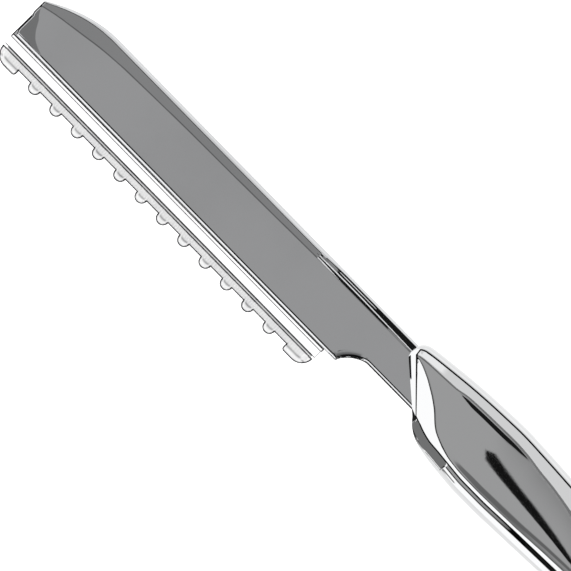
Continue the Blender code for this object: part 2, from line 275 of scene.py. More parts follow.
def objectPoint(tree, scale=(1, 1, 1)):
    # the place on the piece, stretched by this scale
    spot = node(tree, "ShaderNodeTexCoord", {}, {}, "Object")
    return node(tree, "ShaderNodeMapping", {}, {"Vector": spot, "Scale": scale})


def feed(tree, shader, links):
    # what changes over the surface, linked to the shader
    for name, value in links.items():
        tree.links.new(value.socket, shader.inputs[name])


finishes = {
    "polish": {"color": (0.62, 0.625, 0.635), "deep": (0.56, 0.565, 0.575), "rough": 0.035, "haze": 0.05},
    "chrome": {"color": (0.67, 0.675, 0.68), "deep": (0.62, 0.625, 0.63), "rough": 0.02, "haze": 0.035},
    "strip": {"color": (0.80, 0.80, 0.81), "deep": (0.72, 0.72, 0.73), "rough": 0.08, "haze": 0.10},
    "blade": {"color": (0.66, 0.67, 0.68), "deep": (0.52, 0.53, 0.54), "rough": 0.16, "haze": 0.12},
    "spring": {"color": (0.36, 0.36, 0.38), "deep": (0.24, 0.24, 0.25), "rough": 0.32, "haze": 0.16},
}
metal = {
    "wipes": 38.0, "hazeFrom": 0.46, "hazeFull": 0.72, "hazeColor": 0.6,    # soft patches left by handling
    "grain": (260, 1400, 1400), "lines": 6.0, "linesFrom": 0.45, "linesFull": 0.75, "linesRough": 0.03,
    "bump": 0.02, "bumpDepth": 0.00002,
    # painted shade: near black colour and extra roughness for the seat under the covers, seen through the
    # groove
    "grooveShade": (0.012, 0.012, 0.013), "grooveShadeRough": 0.4,
}


def metalFinish(name, look, grain=metal["grain"], grooveShade=False):
    # bright metal: fine polishing lines along the piece, soft patches of haze, and where asked painted shade:
    # the marked seat painted near black so the groove round the covers looks shaded
    material, tree, shader = newMaterial(name)
    wipe = node(tree, "ShaderNodeTexNoise", {},
                {"Vector": objectPoint(tree), "Scale": metal["wipes"], "Detail": 4.0})
    lines = node(tree, "ShaderNodeTexNoise", {},
                 {"Vector": objectPoint(tree, grain), "Scale": metal["lines"], "Detail": 3.0,
                  "Roughness": 0.6})
    haze = wipe.step(metal["hazeFrom"], metal["hazeFull"])
    color = mixed(haze * metal["hazeColor"], look["color"], look["deep"])
    scratched = lines.step(metal["linesFrom"], metal["linesFull"])
    rough = look["rough"] + look["haze"] * haze + metal["linesRough"] * scratched
    if grooveShade:
        # painted shade: the marked seat is painted near black, standing in for the shadow in the groove
        # between cover and frame
        grooveShadeMask = node(tree, "ShaderNodeAttribute", {"attribute_name": "grooveShade"}, {}, "Fac")
        color = mixed(grooveShadeMask.clamp(), color, metal["grooveShade"])
        rough = rough + metal["grooveShadeRough"] * grooveShadeMask
    bump = node(tree, "ShaderNodeBump", {},
                {"Strength": metal["bump"], "Distance": metal["bumpDepth"], "Height": lines})
    shader.inputs["Metallic"].default_value = 1.0
    feed(tree, shader, {"Base Color": color, "Roughness": rough, "Normal": bump})
    return material


plastic = {
    "flow": 420.0, "flowFrom": 0.35, "flowFull": 0.7,
    # deep is the near black of the painted shade
    "clear": (0.95, 0.95, 0.95), "milky": (0.86, 0.86, 0.87), "deep": (0.015, 0.015, 0.017),
    "rim": 0.75, "rimShadeFlow": 0.6, "root": 0.5, "rootFlow": 0.5,          # painted shade: how strongly near black is painted along its edges and along the band's lower edge
    "rough": 0.16, "roughFlow": 0.16, "alpha": 0.62, "alphaFlow": 0.15, "alphaDepth": 0.45,
    "ior": 1.49, "specular": 0.25,
}


def clearFinish(name):
    # clear moulded plastic: frosted skin with faint flow marks, and painted shade: near black painted along
    # its edges, along the band's lower edge and in the rib grooves, where it is also more opaque
    material, tree, shader = newMaterial(name)
    flow = node(tree, "ShaderNodeTexNoise", {},
                {"Vector": objectPoint(tree, (1, 0.3, 1)), "Scale": plastic["flow"], "Detail": 3.0})
    # painted shade: these two attributes mark where near black is painted, one along the guard's outline and
    # the tongue's top, the other along the band's lower edge and in the rib grooves
    rim = node(tree, "ShaderNodeAttribute", {"attribute_name": "rim"}, {}, "Fac")
    root = node(tree, "ShaderNodeAttribute", {"attribute_name": "root"}, {}, "Fac")
    p = plastic
    paintedEdgeShade = (rim * (p["rim"] + p["rimShadeFlow"] * flow) + root * (p["root"] + p["rootFlow"] * flow)).clamp()
    skin = mixed(flow.step(p["flowFrom"], p["flowFull"]), p["clear"], p["milky"])
    feed(tree, shader, {"Base Color": mixed(paintedEdgeShade, skin, p["deep"]),
                        "Roughness": p["rough"] + p["roughFlow"] * flow,
                        "Alpha": (p["alpha"] + p["alphaFlow"] * flow + p["alphaDepth"] * paintedEdgeShade).clamp()})
    shader.inputs["IOR"].default_value = p["ior"]
    shader.inputs["Specular IOR Level"].default_value = p["specular"]
    return material


steelFinish = metalFinish("polishedSteel", finishes["polish"])
chromeFinish = metalFinish("chromePlate", finishes["chrome"], grooveShade=True)
stripFinish = metalFinish("cartridgeSteel", finishes["strip"])
bladeFinish = metalFinish("bladeSteel", finishes["blade"], grain=(1400, 200, 200))
springFinish = metalFinish("springSteel", finishes["spring"])
plasticFinish = clearFinish("clearPlastic")
print("finishes ready")

holder = {
    "face": 1.8, "slot": 1.1,                           # half thickness at the flat sides, and of the slot
    "slotDepth": 2.05, "noseDepth": 1.5,                # from the back down to the slot's roof
    "top": holderTop, "bottom": -5.75, "noseDrop": 3.75, "noseLength": 12.0,
    "notchStart": 68.4, "notchLength": 3.7, "notchRound": 1.5, "neckBottom": -2.75,
    "edge": [(0.07, 62), (0.26, 38), (0.21, 9.5)],      # flats along the lower edge, from the outline inwards
    "neckEdge": [(0.2, 63), (0.17, 38), (0.23, 9.5)],
    "notchEdge": [(0.15, 60), (0.15, 38), (0.25, 9.5), (0.3, 6.5), (0.35, 3.5)], "noseEdge": [(0.23, 64)],
    "neckFrom": 67.2, "notchFrom": 66.9, "notchTo": 70.3,
    "crease": [(0, -0.15), (2, 0.35), (4, 0.72), (6, 1.0), (8, 1.3), (10, 1.62), (12, 1.86), (15, 2.1),
               (22, 2.33), (29, 2.5), (39, 2.62), (49, 2.8), (56, 2.92), (90, 3.0)],
    "strip": [(0, 0.42), (11, 0.8), (55, 0.8), (60, 0.5), (90, 0.48)],      # bright strip along the back
    "ledge": 0.1, "ledgeTilt": 22.0, "backStart": 0.32,
    "noseFacet": [(-5.4, 6.0), (-4.9, 4.5), (-4.3, 3.2), (-3.3, 2.2), (-1.7, 1.2), (-0.3, 0.3), (0.3, 0.0)],
    "noseTilt": 3.0, "noseStep": 0.25, "noseRound": 0.25,
}
swage = {
    "from": 55.3, "full": 56.8,                         # from here on the facet is pressed in flats
    "even": 16.7, "soft": 9.0, "softHigh": 0.2,         # tilt of the even facet, and of its soft foot
    "bright": 48.0, "dark": 21.4, "plain": 12.0,        # tilts of the flats
    "middle": [(65, 0.575), (75, 0.39), (90, 0.38)],    # height of the long bright flat
    "middleFrom": 65, "middleHalf": 0.075, "middleThins": 0.003,
}
headEnd = inDesign(x=holderHigh.x)


def noseShare(u):
    # 1 at the nose, down to 0 in a parabola where it ends
    return np.clip(1 - u / holder["noseLength"], 0, 1) ** 2


def headTop(u):
    # the straight back, sunk at the nose
    return holder["top"] - holder["noseDrop"] * noseShare(u)


def headBottom(u):
    # straight, then a flattened quarter ellipse up to the neck
    left = np.clip((holder["notchStart"] + holder["notchLength"] - u) / holder["notchLength"], 0, 1)
    rise = (1 - left ** holder["notchRound"]) ** (1 / holder["notchRound"])
    return holder["bottom"] + rise * (holder["neckBottom"] - holder["bottom"])


def outlineDistance(u, v, path):
    # shortest distance from each point to a polyline
    a, b = path[:-1], path[1:]
    along = b - a
    length = np.maximum((along**2).sum(axis=1), 1e-12)
    best = np.full(u.shape, 1e9)
    for (ax, ay), (dx, dy), size in zip(a, along, length):
        t = np.clip(((u - ax) * dx + (v - ay) * dy) / size, 0, 1)
        best = np.minimum(best, np.hypot(u - ax - t * dx, v - ay - t * dy))
    return best


def facetSlope(u, height, cell):
    # slope of the facet at this height above its crease: an even bevel, and nearer the handle a swaged one of
    # narrow flats, some dark and some bright; each mask is the share of the cell that lies in the flat
    def within(inside):
        return np.clip(inside / cell + 0.5, 0, 1)

    s = swage
    even = tan(s["soft"]) + (tan(s["even"]) - tan(s["soft"])) * within(height - s["softHigh"])
    middle = np.where(u < s["middleFrom"], s["middle"][0][1], line(s["middle"], u))
    half = s["middleHalf"] - s["middleThins"] * np.clip(u - s["middleFrom"], 0, 10)
    bright, dark, plain = tan(s["bright"]), tan(s["dark"]), tan(s["plain"])
    flats = [                                           # (share of the cell, slope, how much of it along u)
        (within(0.32 - height), plain, ease((u - 69) / 6)),                             # foot, at the handle
        (within(0.21 - np.abs(height - 0.87)), plain, 1 - ease((u - 57.3) / 2.5)),      # upper half, at first
        (within(0.3 - 0.045 * (u - 56) - height), bright, 1 - ease((u - 58.5) / 3)),    # foot, at first
        (within(0.045 - np.abs(height - 1.0)), bright, ease((u - 59) / 2) * (1 - ease((u - 63) / 5))),
        (within(half - np.abs(height - middle)), bright, 1.0),
        (within(0.08 - height), plain, 1.0)]
    swaged = dark + 0 * height
    for share, slope, much in flats:
        swaged = swaged + share * much * (slope - swaged)
    return even + (swaged - even) * ease((u - s["from"]) / (s["full"] - s["from"]))


def holderStations():
    # places along the head, close together where its outline bends
    h = holder
    notch = h["notchStart"] + h["notchLength"] * np.linspace(0, 1, 90) ** 2.0
    nose = [0, 0.03, 0.08, 0.14, 0.17, 0.19]
    straight = h["notchStart"] - 1
    return np.unique(np.round(np.concatenate([
        nose, spread(0.22, 1.2, 14), spread(1.2, 14, 90), spread(14, straight, 110),
        spread(straight, h["notchStart"], 12), notch,
        spread(h["notchStart"] + h["notchLength"], headEnd, 50)]), 5))


def holderFall(u, v, outline):
    # how far the flat side falls away in narrow flats along the lower edge, the notch and the neck
    h = holder
    edge = outlineDistance(u, v, outline)
    notchShare = ease((u - h["notchFrom"]) / 1.0) * (1 - ease((u - h["notchTo"]) / 2.0))
    neckShare = ease((u - h["neckFrom"]) / 0.6)
    plain = chamfer(edge, h["edge"]) * (1 - neckShare) + chamfer(edge, h["neckEdge"]) * neckShare
    return plain + (chamfer(edge, h["notchEdge"]) - plain) * notchShare


def noseFall(u, v):
    # how far the face falls away in front of the curved line of the nose's facet
    far = np.linspace(-8, 0.4, 90)
    facetPath = np.stack([line(holder["noseFacet"], far, 0.35), far], axis=1)
    cut = outlineDistance(u, v, facetPath) * (u < line(holder["noseFacet"], v, 0.35))
    return tan(holder["noseTilt"]) * cut


def makeHolder():
    # Rings across the head. Outside: flat side, crease, sloping facet, a ledge, rounded back; inside: the
    # slot's two walls and roof. The flat side then falls away along its outline and at the nose.
    h = holder
    u = holderStations()
    top, bottom = headTop(u), headBottom(u)
    strip = line(h["strip"], u, 1.0)
    inner = top - strip
    crease = np.minimum(line(h["crease"], u, 0.8), inner - 0.3)
    offsets = np.array([0, 0.035, 0.07, 0.08, 0.12, 0.17, 0.18, 0.25, 0.33, 0.34, 0.355, 0.42, 0.48, 0.54,
                        0.56, 0.62, 0.7, 0.85])
    lowPart = spread(0, 1, 34, 0.5)[None, 1:]
    vFirst = bottom[:, None] + offsets[None, :]
    vLow = np.concatenate([vFirst, vFirst[:, -1:] + lowPart * (crease - vFirst[:, -1])[:, None]], axis=1)
    wLow = np.full_like(vLow, h["face"])

    steps = 40
    height = np.linspace(0, 1, steps + 1)[None, 1:] * (inner - crease)[:, None]
    cell = (inner - crease)[:, None] / steps
    vFacet = crease[:, None] + height
    wFacet = h["face"] - np.cumsum(facetSlope(u[:, None], height - cell / 2, cell), axis=1) * cell

    out = h["ledge"] * np.linspace(0.5, 1, 2)[None, :]
    vLedge = inner[:, None] + out
    wLedge = wFacet[:, -1:] - h["ledge"] * tan(h["ledgeTilt"]) * np.linspace(0.5, 1, 2)[None, :]
    phi = np.linspace(h["backStart"], math.pi / 2, 13)[None, 1:]
    rise = (np.sin(phi) - math.sin(h["backStart"])) / (1 - math.sin(h["backStart"]))
    vBack = (inner + h["ledge"])[:, None] + rise * (strip - h["ledge"])[:, None]
    wBack = wLedge[:, -1:] * np.cos(phi) / math.cos(h["backStart"])

    v = np.concatenate([vLow, vFacet, vLedge, vBack], axis=1)
    w = np.concatenate([wLow, wFacet, wLedge, wBack], axis=1)
    uu = np.repeat(u[:, None], v.shape[1], axis=1)
    flat = v < inner[:, None]
    w = w - np.where(flat, noseFall(uu, v), 0)
    w = w - np.where(flat, holderFall(uu, v, np.stack([u, bottom], axis=1)), 0)
    w = w - chamfer(uu, h["noseEdge"]) * np.clip(w / h["face"], 0, 1)
    w = np.maximum(w, np.where(flat, h["slot"] + 0.06, 0.0))
    setBack = ease((-1.4 - v) / 0.5) * h["noseStep"] + h["noseRound"] * np.clip((-4.6 - v) / 0.7, 0, 1) ** 2
    uu = uu + setBack * np.clip(1 - uu / 3, 0, 1)

    rows = 5
    roof = top - h["slotDepth"] + (h["slotDepth"] - h["noseDepth"]) * noseShare(u)
    vWall = roof[:, None] + np.linspace(0, 1, rows)[None, :] * (bottom + 0.08 - roof)[:, None]
    uWall = np.repeat(u[:, None], rows, axis=1) + (uu[:, :1] - u[:, None])
    outer = np.stack([uu, v, w], axis=-1)
    inside = np.stack([uWall, vWall, np.full_like(vWall, h["slot"])], axis=-1)
    flip = np.array([1, 1, -1])
    rings = np.concatenate([outer, (outer * flip)[:, -2::-1], (inside * flip)[:, ::-1], inside], axis=1)
    points, faces = sleeve(rings)
    addPiece("holderShell", points, faces, "razor", ["blade_holder"], steelFinish,
             sharp=4.0)


makeHolder()
print("holder ready")

handle = {
    "front": inDesign(x=frameLow.x), "length": inDesign(x=frameHigh.x) - inDesign(x=frameLow.x),
    "slant": 7.0, "slantRun": 16.0, "uprightFrom": 0.79,
    "top": [(0, 5.5), (1.6, 5.95), (5.6, 6.42), (9.6, 6.88), (13.6, 7.2), (20.6, 7.52), (26.6, 7.27),
            (50, 6.1), (75, 4.75), (100, 3.55), (131, 2.4)],
    "bottom": [(7.0, -3.4), (8.1, -4.7), (9.6, -5.55), (11.6, -6.1), (13.6, -6.42), (18.6, -6.87),
               (23.6, -6.87), (33.6, -6.4), (50, -5.6), (75, -4.35), (100, -3.2), (131, -2.1)],
    "bandLow": [(0, 0.8), (1.75, 1.45), (4, 1.6), (8, 1.68), (13, 1.9), (30, 1.9), (60, 1.5), (131, 0.7)],
    "bandTop": 0.93,
    "lip": [(0, 3.72), (22, 3.72), (34, 3.15), (58, 2.95), (131, 1.75)],
    "crest": [(0, 4.91), (58, 4.91), (131, 3.1)],
    "tailRound": 6.0, "frontFlat": 0.62, "groove": 0.23, "frontGroove": 0.24,
    "flatBelly": 15.6, "bellyTilt": 48.0,               # the belly is a steep flat up to here
    "frontRound": 1.3, "frontRun": 1.7, "seatDrop": 0.5,
}


def tailRound(d):
    # 1, then a quarter ellipse down to the end of the tail
    past = np.clip((d - (handle["length"] - handle["tailRound"])) / handle["tailRound"], 0, 1)
    return np.sqrt(np.clip(1 - past**2, 0.001, 1))


def handleTop(d):
    # the upper outline, with a quarter ellipse taken off its front corner
    rounded = 1 - np.sqrt(1 - np.clip(1 - d / handle["frontRun"], 0, 1) ** 2)
    return line(handle["top"], d, 1.8) - handle["frontRound"] * rounded


def handleBottom(d):
    # the lower outline, straight runs with eased corners
    return line(handle["bottom"], d, 0.9)


def leanAt(d):
    # how far the foot of the ring that starts at d is set back; the rings stand upright further on
    return 1 - ease(d / handle["slantRun"])


def kneeAt(v, top):
    # straight drop at the top of the front edge, then back down the slant, with the corner eased; below the
    # foot of the slant the rings drop straight again
    foot = handleBottom(handle["slant"])
    t = np.clip((v - foot) / np.maximum(top - foot, 0.1), 0, 1.5)
    return line([(0, 0), (handle["uprightFrom"], 1), (1.0, 1.0), (1.5, 1.0)], t, 0.03)


def handleStations():
    # places along the handle, close together at the front and round the tail
    h = handle
    body = np.concatenate([[0, 0.1, 0.2, 0.4, 0.61, 0.63, 0.7, 0.8, 0.9],
                           spread(1.0, 20, 150), spread(20.15, 40, 100),
                           spread(40.4, h["length"] - h["tailRound"] - 0.2, 120)])
    tail = h["length"] - h["tailRound"] * (1 - np.sin(np.linspace(0, math.pi / 2, 26)))
    return np.unique(np.round(np.concatenate([body, tail]), 5))


def outlines(d):
    # top and bottom height of the rings that start d behind the front, drawn in at the round tail
    top = handleTop(d)
    bottom = handleBottom(d + handle["slant"] * leanAt(d))
    middle = (top + bottom) / 2
    shrink = tailRound(d)
    return middle + (top - middle) * shrink, middle + (bottom - middle) * shrink, shrink


def bandWidths(d, shrink, top, bottom):
    # width of the bands below and above the cover, narrower where the handle is low and at the tail
    low = line(handle["bandLow"], d, 1.0) * shrink
    high = handle["bandTop"] * np.clip(shrink, 0.05, 1) * np.clip((top - bottom) / 3.2, 0.2, 1)
    return low, high


def bandRows(width, lip, flats, begin):
    # columns across a band, outwards from the parting line: (distance, height); flats, then a round from the
    # angle where it begins
    scale = np.clip(width / 1.2, 0, 1)
    far, low = 0 * width, lip + 0 * width
    rows = [(far, low)]
    for flatWidth, slope in flats:
        size = flatWidth * scale
        rows += [(far + size * part, low - size * part * slope) for part in (0.08, 0.5, 0.92)]
        far, low = far + size, low - size * slope
        rows.append((far, low))
    for phi in np.linspace(begin, math.pi / 2, 14)[1:]:
        share = (math.sin(phi) - math.sin(begin)) / (1 - math.sin(begin))
        rows.append((far + (width - far) * share, low * math.cos(phi) / math.cos(begin)))
    return np.stack([r[0] for r in rows], axis=1), np.stack([r[1] for r in rows], axis=1)


def lowerFlats(d):
    # the two flats below the parting line: level ones, steep along the front of the belly
    flatBelly = ease((handle["flatBelly"] - d) / 0.35 + 0.5)
    shaded = ease((d - 25) / 8)
    steep = tan(handle["bellyTilt"]) * flatBelly
    return [(0.34 + 0.7 * flatBelly, tan(3.2 + 6.3 * shaded) * (1 - flatBelly) + steep),
            (0.16 + 0 * d, tan(9.5) * (1 - flatBelly) + steep)]


def makeBody():
    # Half rings from the belly round the lower band, over the seat of the cover and round the upper band
    h = handle
    d = handleStations()
    top, bottom, shrink = outlines(d)
    bandLow, bandTop = bandWidths(d, shrink, top, bottom)
    lip = line(h["lip"], d, 2.0) * np.clip(shrink, 0.15, 1)
    lip = lip - 0.36 * np.clip(1 - d / h["frontFlat"], 0, 1)
    lowOut, lowHeight = bandRows(bandLow, lip, lowerFlats(d), 0.22)
    topOut, topHeight = bandRows(bandTop, lip, [(0.05 + 0 * d, 0.3 + 0 * d)], 0.16)
    seatLow, seatHigh = bottom + bandLow, top - bandTop
    lowV = (seatLow[:, None] - lowOut)[:, ::-1]
    topV = seatHigh[:, None] + topOut
    seated = d > h["frontFlat"] + 0.02
    drop = np.minimum(h["seatDrop"], 0.3 * lip)[:, None] * seated[:, None]
    columns = 9
    across = np.linspace(0.02, 0.98, columns)[None, :]
    seatV = seatLow[:, None] + across * (seatHigh - seatLow)[:, None]
    seatV[:, 0], seatV[:, -1] = seatLow + 0.015, seatHigh - 0.015
    seatW = lip[:, None] - drop + 0 * seatV
    v = np.concatenate([lowV, seatV, topV], axis=1)
    w = np.concatenate([lowHeight[:, ::-1], seatW, topHeight], axis=1)
    u = d[:, None] + h["slant"] * leanAt(d)[:, None] * (1 - kneeAt(v, top[:, None]))
    points, faces = tube(mirrorAcross(np.stack([u + h["front"], v, w], axis=-1)))
    # painted shade: the seat columns under the covers are marked to be painted near black, so the groove
    # round each cover looks shaded
    hidden = np.zeros(v.shape)
    hidden[seated, lowV.shape[1]:lowV.shape[1] + columns] = 1
    grooveShade = np.concatenate([bothSides(hidden), [0, 0]])
    addPiece("handleBody", points, faces, "razor", ["handle_frame"], chromeFinish, sharp=5.0,
             attributes={"grooveShade": grooveShade})


dish = {
    "top": [(1.2, 3.45), (2.6, 3.66), (9.2, 3.98), (10.2, 4.35), (14.6, 4.55), (20.6, 4.7), (23.6, 4.55),
            (26, 4.15), (28.6, 3.95), (31.6, 3.5), (34.6, 2.85), (38, 1.9), (46, -0.4), (59, -2.7),
            (90, -0.1), (131, 0.1)],
    "low": [(1.2, 3.4), (2.6, 3.1), (4.6, 2.25), (7.0, 0.9), (8.8, -0.35), (10.3, -1.8), (11.3, -2.5),
            (13.1, -3.2), (15.1, -3.8), (17.6, -4.08), (21.6, -4.15), (29.6, -3.9), (34.6, -3.55),
            (39.6, -3.3), (59, -2.75), (90, -0.15), (131, 0.05)],
    "floor": [(1.2, 3.42), (2.6, 3.38), (4.6, 3.0), (7, 2.4), (8.8, 1.8), (10.3, 1.0), (13, 0.3), (19, -0.3),
              (24, -0.65), (29, -1.0), (34, -1.4), (38.6, -1.9), (46, -2.5), (59, -2.73), (131, 0.0)],
    "hollow": [(0, 0.0), (6, 0.02), (12, 0.08), (18, 0.14), (24, 0.16), (32, 0.16), (40, 0.11), (56, 0.05),
               (131, 0.0)],
    "fall": [(0, 0.0), (18.9, 0.0), (24, 0.175), (30, 0.405), (36, 0.635), (45, 1.0), (50, 1.05),
             (62, 0.6), (84, 0.0), (131, 0.0)],
    "lowShade": 0.8, "lowTilt": 6.5, "shadeFrom": 11.0, "shadeRun": 13.0,
    "ledge": [(0, 0.0), (9.4, 0.0), (9.9, 0.35), (12, 0.75), (19, 0.75), (22, 0.45), (24.4, 0.0), (131, 0.0)],
    "ledgeTilt": 6.0,                                   # a raised lip along part of the upper edge
    "rimFlat": 0.3, "rimTilt": 10.0, "start": 1.2, "end": 59.0, "topBlur": 0.9, "lowBlur": 0.5,
    "lowProud": 0.3, "proudFrom": 10.5, "proudRun": 3, "proudTo": 44, "proudFade": 14,
    "noseEnd": 3.6, "noseRun": 2.2, "noseLow": 0.8, "noseRise": 1.2, "noseSide": 0.6,
    "crownFrom": 44, "crownRun": 26,
}


def polish(w, rounds):
    # neighbours averaged along and across the grid, edges kept
    for _ in range(rounds):
        near = (w[:-2, 1:-1] + w[2:, 1:-1] + w[1:-1, :-2] + w[1:-1, 2:]) / 4
        w = w.copy()
        w[1:-1, 1:-1] = 0.5 * w[1:-1, 1:-1] + 0.5 * near
    return w


def dishTop(d):
    # upper edge of the dish
    return line(dish["top"], d, dish["topBlur"])


def dishLow(d):
    # lower edge of the dish
    return line(dish["low"], d, dish["lowBlur"])


def dishFloor(d):
    # the line along which the dish is deepest
    return line(dish["floor"], d, 2.0)


def dishDepth(d, v, toTop, toLow):
    # A shallow trough: parabolas up to both edges from a floor that runs down towards the tail, and a steeper
    # band along the lower edge
    floor, topLine, lowLine = dishFloor(d), dishTop(d), dishLow(d)
    span = np.where(v > floor, topLine - floor, floor - lowLine)
    across = np.clip((v - floor) / np.maximum(np.abs(span), 1e-6), -1, 1)
    hollow = line(dish["hollow"], d, 2.0) * np.clip((topLine - lowLine) / 4.6, 0, 1) ** 2
    shade = np.clip(toLow / dish["lowShade"], 0, 1) * dish["lowShade"] * tan(dish["lowTilt"])
    shade = shade * ease((d - dish["shadeFrom"]) / dish["shadeRun"]) * toTop / np.maximum(toTop + toLow, 1e-6)
    return hollow * (1 - across**2) + shade


def raisedShare(d, v, toTop, toLow):
    # how far the cover's edge comes up to the crest: along the lower edge, and in the corner at the front
    k = dish
    proud = ease((d - k["proudFrom"]) / k["proudRun"]) * (1 - ease((d - k["proudTo"]) / k["proudFade"]))
    proud = proud * (v < dishFloor(d))
    nose = ease((k["noseEnd"] - d) / k["noseRun"]) * ease((v - k["noseLow"]) / k["noseRise"])
    nose = nose * ease((toTop - toLow) / k["noseSide"] + 0.5)
    return np.maximum(proud, nose)


def coverHeight(d, v, rim):
    # A crest round the dish, a flat rim, then a bevel down to the parting line; inside, the dish
    shrink = np.clip(tailRound(d), 0.15, 1)
    far = np.linspace(dish["start"], 131, 520)
    toTop = outlineDistance(d, v, np.stack([far, dishTop(far)], axis=1))
    toLow = outlineDistance(d, v, np.stack([far, dishLow(far)], axis=1))
    fromDish = np.minimum(toTop, toLow)
    inside = (v < dishTop(d)) & (v > dishLow(d)) & (d > dish["start"]) & (d < dish["end"])
    crest = (line(handle["crest"], d, 2.0) - line(dish["fall"], d, 2.0)) * shrink
    shoulder = np.minimum(fromDish, dish["rimFlat"]) * tan(dish["rimTilt"])
    ledge = line(dish["ledge"], d, 0.6)
    edge = (line(handle["lip"], d, 2.0) + 0.03) * shrink
    edge = edge + (crest - dish["lowProud"] - edge) * raisedShare(d, v, toTop, toLow)
    edge = edge + 0.5 * ledge * (toTop < toLow)
    beyond = np.clip(fromDish - dish["rimFlat"], 0, None)
    share = beyond / np.maximum(beyond + outlineDistance(d, v, rim), 1e-6)
    crown = ease((d - dish["crownFrom"]) / dish["crownRun"])
    share = share * (1 - crown) + share**2 * crown
    outside = crest - shoulder - (crest - shoulder - edge) * share
    lifted = np.where(inside, np.clip(ledge - toTop, 0, None), ledge * (1 - share)) * (toTop < toLow)
    return np.where(inside, crest - dishDepth(d, v, toTop, toLow), outside) + lifted * tan(dish["ledgeTilt"])


def makeCover(name, side, stands):
    # A grid over the inlaid face, within the groove, and a flat underside
    h = handle
    begin = h["frontFlat"] + h["frontGroove"]
    d = handleStations()
    d = np.concatenate([[begin], d[(d > begin + 0.03) & (d < h["length"] - 0.25)]])
    top, bottom, shrink = outlines(d)
    bandLow, bandTop = bandWidths(d, shrink, top, bottom)
    groove = h["groove"] * np.clip(shrink, 0, 1)
    low, high = bottom + bandLow + groove, top - bandTop - groove
    v = low[:, None] + spread(0, 1, 120, 0.35)[None, :] * (high - low)[:, None]
    dd = d[:, None] + h["slant"] * leanAt(d)[:, None] * (1 - kneeAt(v, top[:, None]))
    flat = np.stack([dd, v], axis=-1)
    rim = np.concatenate([flat[0, ::-4], flat[::2, 0], flat[-1, ::4], flat[::2, -1][::-1]])
    w = polish(coverHeight(dd, v, rim), 3)
    base = (line(h["lip"], d, 2.0) * np.clip(shrink, 0.15, 1) - 0.25)[:, None] + 0 * v
    upper = np.stack([dd + h["front"], v, w], axis=-1)
    under = np.stack([dd[:, ::-1] + h["front"], v[:, ::-1], base], axis=-1)
    rings = np.concatenate([upper, under[:, ::8]], axis=1) * np.array([1, 1, side])
    points, faces = sleeve(rings)
    addPiece(name, points, faces, "razor", stands, chromeFinish, sharp=30.0)


makeBody()
makeCover("coverFront", 1, ["front_cover"])
makeCover("coverBack", -1, ["back_cover"])
print("handle ready")

cartridge = {
    "start": inDesign(x=spineLow.x), "end": inDesign(x=spineHigh.x),
    "top": inDesign(y=spineHigh.y), "bottom": inDesign(y=spineLow.y),
    "half": 0.8, "slot": 0.2, "lipLine": -5.78,
    "roll": [(0.22, 10.0), (0.30, 17.0), (0.12, 9.5), (1.21, 16.2), (0.10, 58.0)],  # flats below the lip line
}
blade = {"half": 0.125, "bevel": 0.6, "edge": 0.004}


def makeStrip():
    # a folded strip: flat inside the holder, then rolled in towards the blade in long flats down to its hem
    c = cartridge
    widths = np.array([width for width, tilt in c["roll"]])
    falls = np.array([width * tan(tilt) for width, tilt in c["roll"]])
    vRoll = c["lipLine"] - np.concatenate([[0], np.cumsum(widths)])
    wRoll = c["half"] - np.concatenate([[0], np.cumsum(falls)])
    vRoll[-1] = c["bottom"]
    top, hold = c["top"], c["top"] - 1.2
    upper = np.array([(top, 0.0), (top, 0.62), (top - 0.06, 0.76), (top - 0.2, c["half"])])
    hem = np.array([(c["bottom"], c["slot"] + 0.01), (c["bottom"] + 0.1, c["slot"]), (hold, c["slot"]),
                    (hold, 0.0)])
    section = np.concatenate([upper, np.stack([vRoll, wRoll], axis=1), hem])
    pulls = np.array([0.36, 0.19, 0.02])                    # how far the ends are drawn in
    flats = 60
    u = np.concatenate([[c["start"], c["start"] + 0.1, c["start"] + 0.2],
                        spread(c["start"] + 0.22, c["end"] - 0.22, flats),
                        [c["end"] - 0.2, c["end"] - 0.1, c["end"]]])
    pull = np.concatenate([pulls, np.zeros(flats), pulls[::-1]])[:, None]
    half = carried(u, section)
    w = half[:, :, 2]
    half[:, :, 2] = w - np.minimum(pull, 0.45 * w) * (w > 0.3)
    points, faces = sleeve(mirrorAcross(half))
    addPiece("cartridgeStrip", points, faces, "cartridge", ["cartridge_spine"],
             stripFinish, sharp=4.0)


def makeBlade():
    # flat strip with a ground edge
    low, top = inDesign(y=bladeLow.y), inDesign(y=bladeHigh.y)
    half, edge = blade["half"], blade["edge"]
    section = np.array([(top, 0.0), (top, half - 0.01), (top - 0.02, half), (low + blade["bevel"], half),
                        (low + 0.28, 0.07), (low, edge), (low, 0.0)])
    u = spread(inDesign(x=bladeLow.x), inDesign(x=bladeHigh.x), 30)
    points, faces = sleeve(mirrorAcross(carried(u, section)))
    addPiece("bladeStrip", points, faces, "cartridge", ["razor_blade"], bladeFinish,
             sharp=10.0)


guard = {
    "start": cartridge["start"], "end": cartridge["end"],
    "top": inDesign(y=guardHigh.y), "band": -9.25, "half": 0.8, "roundness": 0.14,
    "teeth": 12, "toothHalf": 1.07, "ribPitch": 0.44, "ribDepth": 0.045,
    "endTooth": 2.8, "endInset": 1.8, "endGap": 0.2, "endSweep": 2.3, "endCorner": 0.5, "endDrop": 1.05,
    "lineWidth": 0.17, "lineFade": 0.05, "ribShade": 0.22,                  # how wide the painted dark outline along its edges is, and how much painted shade its rib grooves get
    "tongue": 0.33, "tongueHalf": 0.5, "tongueFrom": 0.9, "tongueTo": 0.6,  # what the strip's hem holds
}


def toothMiddles():
    # evenly spaced between the two long end teeth
    first = guard["start"] + guard["endInset"] + guard["endTooth"]
    last = guard["end"] - guard["endInset"] - guard["endTooth"]
    pitch = (last - first) / (guard["teeth"] + 0.55)
    return first + pitch * (np.arange(guard["teeth"]) + 0.775)


